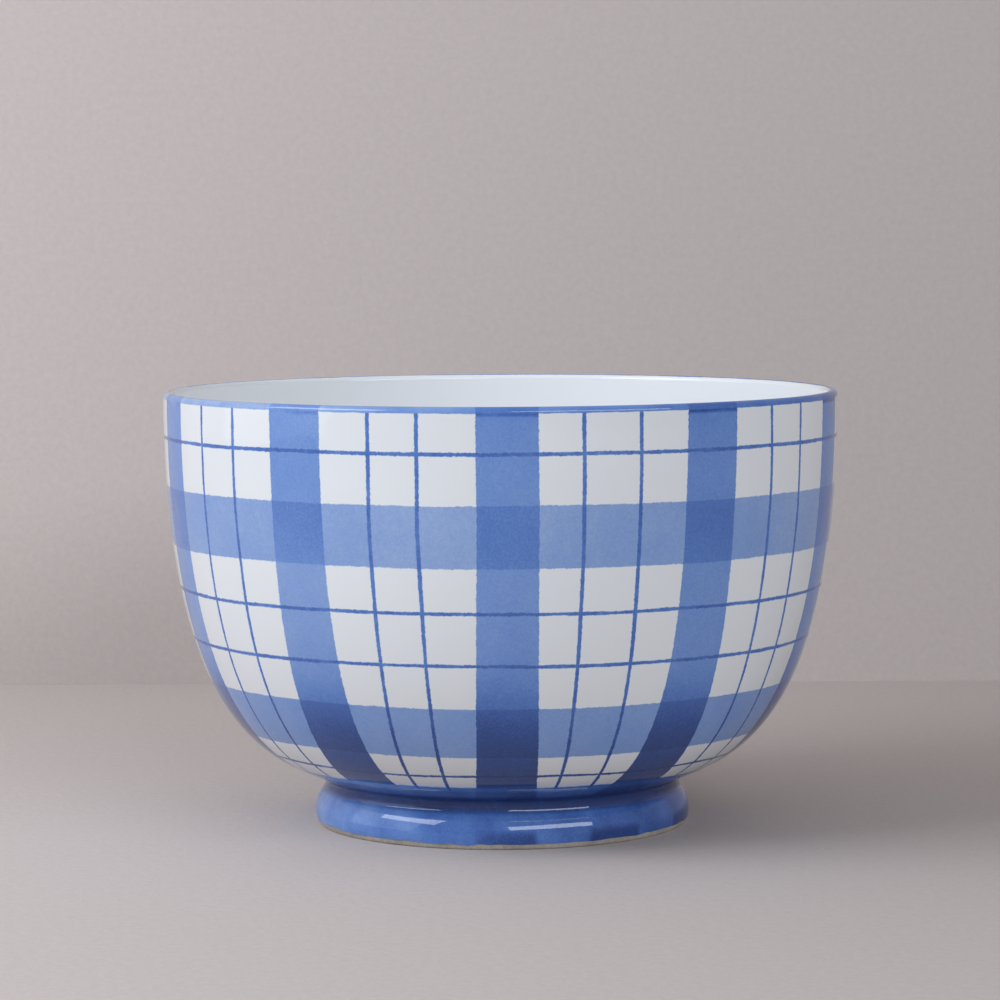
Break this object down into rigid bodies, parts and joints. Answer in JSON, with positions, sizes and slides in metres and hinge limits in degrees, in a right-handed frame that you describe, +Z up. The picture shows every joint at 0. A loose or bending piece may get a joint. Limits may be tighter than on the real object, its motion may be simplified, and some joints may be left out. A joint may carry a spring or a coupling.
{
  "type": "footed bowl",
  "caption": "Deep round stoneware bowl on a foot ring, glossy white inside, hand-painted outside in a blue plaid of wide washes and thin lines.",
  "frame": {"origin": "centre of the foot ring in the plane it stands on", "axes": "+Z up along the bowl's axis of turning; +X to the right and -Y towards the viewer"},
  "size_m": [0.24, 0.24, 0.1548],
  "materials": {
    "clay_body": "matte",
    "bare_clay": "matte",
    "clay_slip": "matte",
    "white_glaze": "gloss",
    "painted_glaze": "gloss",
    "blue_glaze": "gloss",
    "underside_glaze": "gloss"
  },
  "bodies": {
    "root": {"stoneware_bowl": "clay_body", "foot_ring": "bare_clay", "slip_seam": "clay_slip", "inner_glaze": "white_glaze", "outer_glaze": "painted_glaze", "foot_glaze": "blue_glaze", "underside_glaze": "underside_glaze"}
  },
  "joints": []
}
